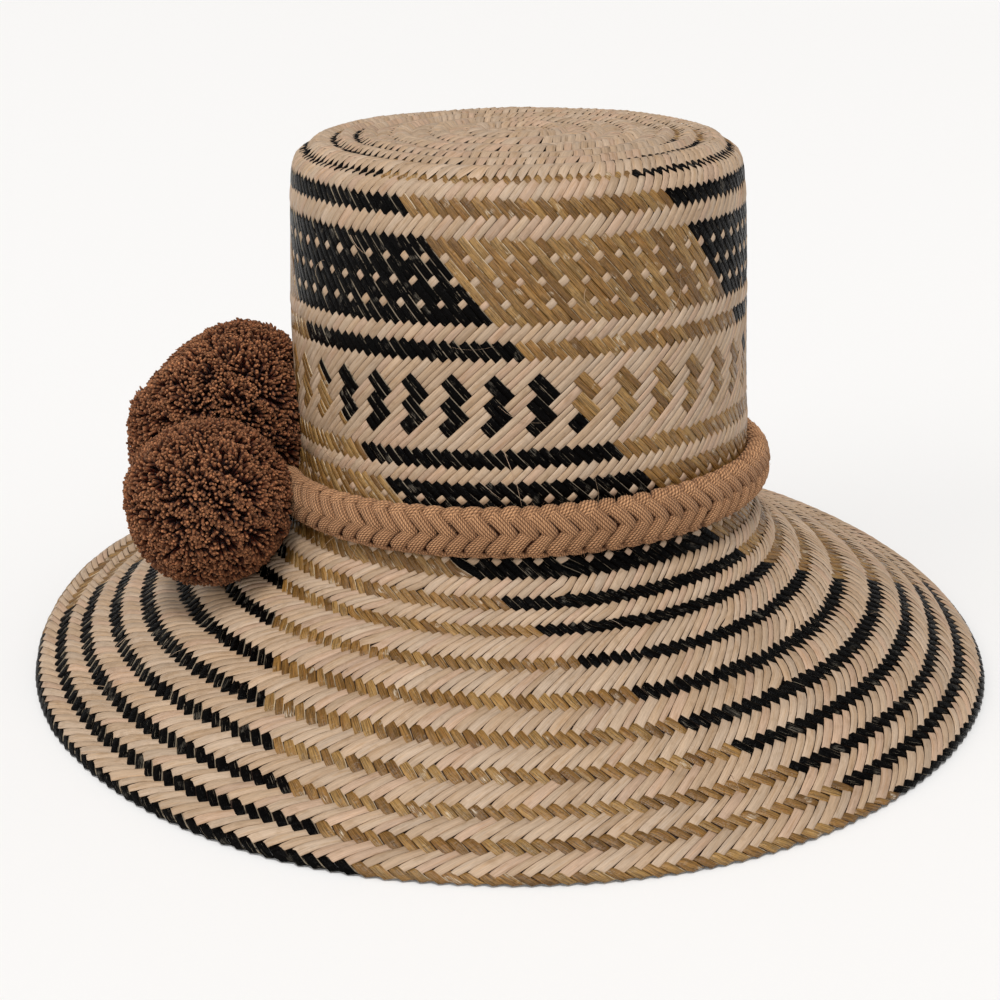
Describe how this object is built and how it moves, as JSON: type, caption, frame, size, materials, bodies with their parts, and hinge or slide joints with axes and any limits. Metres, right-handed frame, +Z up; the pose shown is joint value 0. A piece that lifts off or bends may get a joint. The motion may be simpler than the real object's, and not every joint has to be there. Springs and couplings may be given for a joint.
{
  "type": "woven straw wayuu hat with plaited band and pompoms",
  "caption": "Brimmed hat plaited from straw strips, tall flat-topped crown, padded plaited band, yarn pompoms at the side.",
  "frame": {"origin": "centre of the brim's rim, on the surface that the rim rests on", "axes": "+Z up through the crown, -Y towards the front as in the picture, pompoms at -X"},
  "size_m": [0.4054, 0.4054, 0.2149],
  "materials": {
    "straw": "plaited palm straw, natural, olive brown and black strips",
    "cotton": "plaited cotton cord, matte",
    "yarn": "cut twisted cotton yarn, matte"
  },
  "bodies": {
    "root": {"hat_body": "straw", "hat_band": "cotton", "pompom_upper": "yarn", "pompom_lower": "yarn"}
  },
  "joints": []
}
